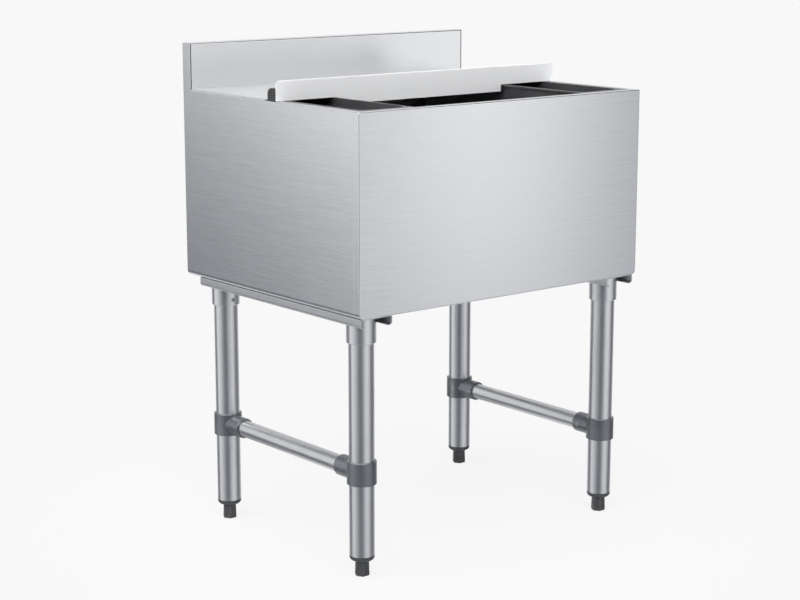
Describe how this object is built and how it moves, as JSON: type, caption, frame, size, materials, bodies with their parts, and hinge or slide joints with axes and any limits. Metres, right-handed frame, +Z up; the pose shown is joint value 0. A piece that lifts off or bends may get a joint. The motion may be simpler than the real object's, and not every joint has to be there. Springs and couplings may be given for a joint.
{
  "type": "commercial ice bin",
  "caption": "Free-standing stainless ice bin on braced tubular legs, with a backsplash, a sliding cover and removable bottle wells at both ends.",
  "frame": {"origin": "on the floor, under the middle of the bin's outline seen from above", "axes": "+Z up, the front panel faces -Y, +X to the right seen from the front"},
  "size_m": [0.6096, 0.489, 0.835],
  "materials": {
    "case_steel": "brushed",
    "cover_steel": "brushed, fine",
    "liner_steel": "brushed",
    "tube_steel": "satin",
    "bracket_steel": "satin",
    "foam": "matte",
    "tray_plastic": "fine grained",
    "cap_plastic": "satin",
    "clamp_metal": "satin grey",
    "foot_plastic": "satin",
    "drain_metal": "polished",
    "gasket_rubber": "matte",
    "screw_steel": "satin"
  },
  "bodies": {
    "bin": {"front_panel": "case_steel", "left_side_panel": "case_steel", "right_side_panel": "case_steel", "back_panel": "case_steel", "backsplash": "case_steel", "rear_cover": "cover_steel", "ice_well": "liner_steel", "bottom_pan": "liner_steel", "foam_insulation": "foam", "left_bottle_well": "tray_plastic", "left_channel": "bracket_steel", "left_brace": "tube_steel", "right_bottle_well": "tray_plastic", "right_channel": "bracket_steel", "right_brace": "tube_steel", "front_left_leg_socket": "bracket_steel", "front_left_leg": "tube_steel", "front_left_clamp": "clamp_metal", "front_left_foot_insert": "foot_plastic", "front_right_leg_socket": "bracket_steel", "front_right_leg": "tube_steel", "front_right_clamp": "clamp_metal", "front_right_foot_insert": "foot_plastic", "back_left_leg_socket": "bracket_steel", "back_left_leg": "tube_steel", "back_left_clamp": "clamp_metal", "back_left_foot_insert": "foot_plastic", "back_right_leg_socket": "bracket_steel", "back_right_leg": "tube_steel", "back_right_clamp": "clamp_metal", "back_right_foot_insert": "foot_plastic", "drain_tailpiece": "drain_metal", "drain_strainer": "drain_metal", "drain_locknut": "drain_metal", "drain_gasket": "gasket_rubber", "socket_set_screws": "screw_steel", "clamp_ring_screws": "screw_steel", "clamp_arm_screws": "screw_steel"},
    "lid": {"sliding_lid": "cover_steel", "lid_handle": "cover_steel", "left_lid_cap": "cap_plastic", "right_lid_cap": "cap_plastic", "lid_cap_screws": "screw_steel"},
    "front_left_levelling_foot": {"front_left_foot": "foot_plastic"},
    "front_right_levelling_foot": {"front_right_foot": "foot_plastic"},
    "back_left_levelling_foot": {"back_left_foot": "foot_plastic"},
    "back_right_levelling_foot": {"back_right_foot": "foot_plastic"}
  },
  "joints": [
    {"name": "lid_slide", "type": "slide", "parent": "bin", "child": "lid", "axis": [0, -1, 0], "range_m": [0, 0.1935]},
    {"name": "front_left_foot_screw", "type": "slide", "parent": "bin", "child": "front_left_levelling_foot", "axis": [0, 0, -1], "range_m": [0, 0.025]},
    {"name": "front_right_foot_screw", "type": "slide", "parent": "bin", "child": "front_right_levelling_foot", "axis": [0, 0, -1], "range_m": [0, 0.025]},
    {"name": "back_left_foot_screw", "type": "slide", "parent": "bin", "child": "back_left_levelling_foot", "axis": [0, 0, -1], "range_m": [0, 0.025]},
    {"name": "back_right_foot_screw", "type": "slide", "parent": "bin", "child": "back_right_levelling_foot", "axis": [0, 0, -1], "range_m": [0, 0.025]}
  ]
}
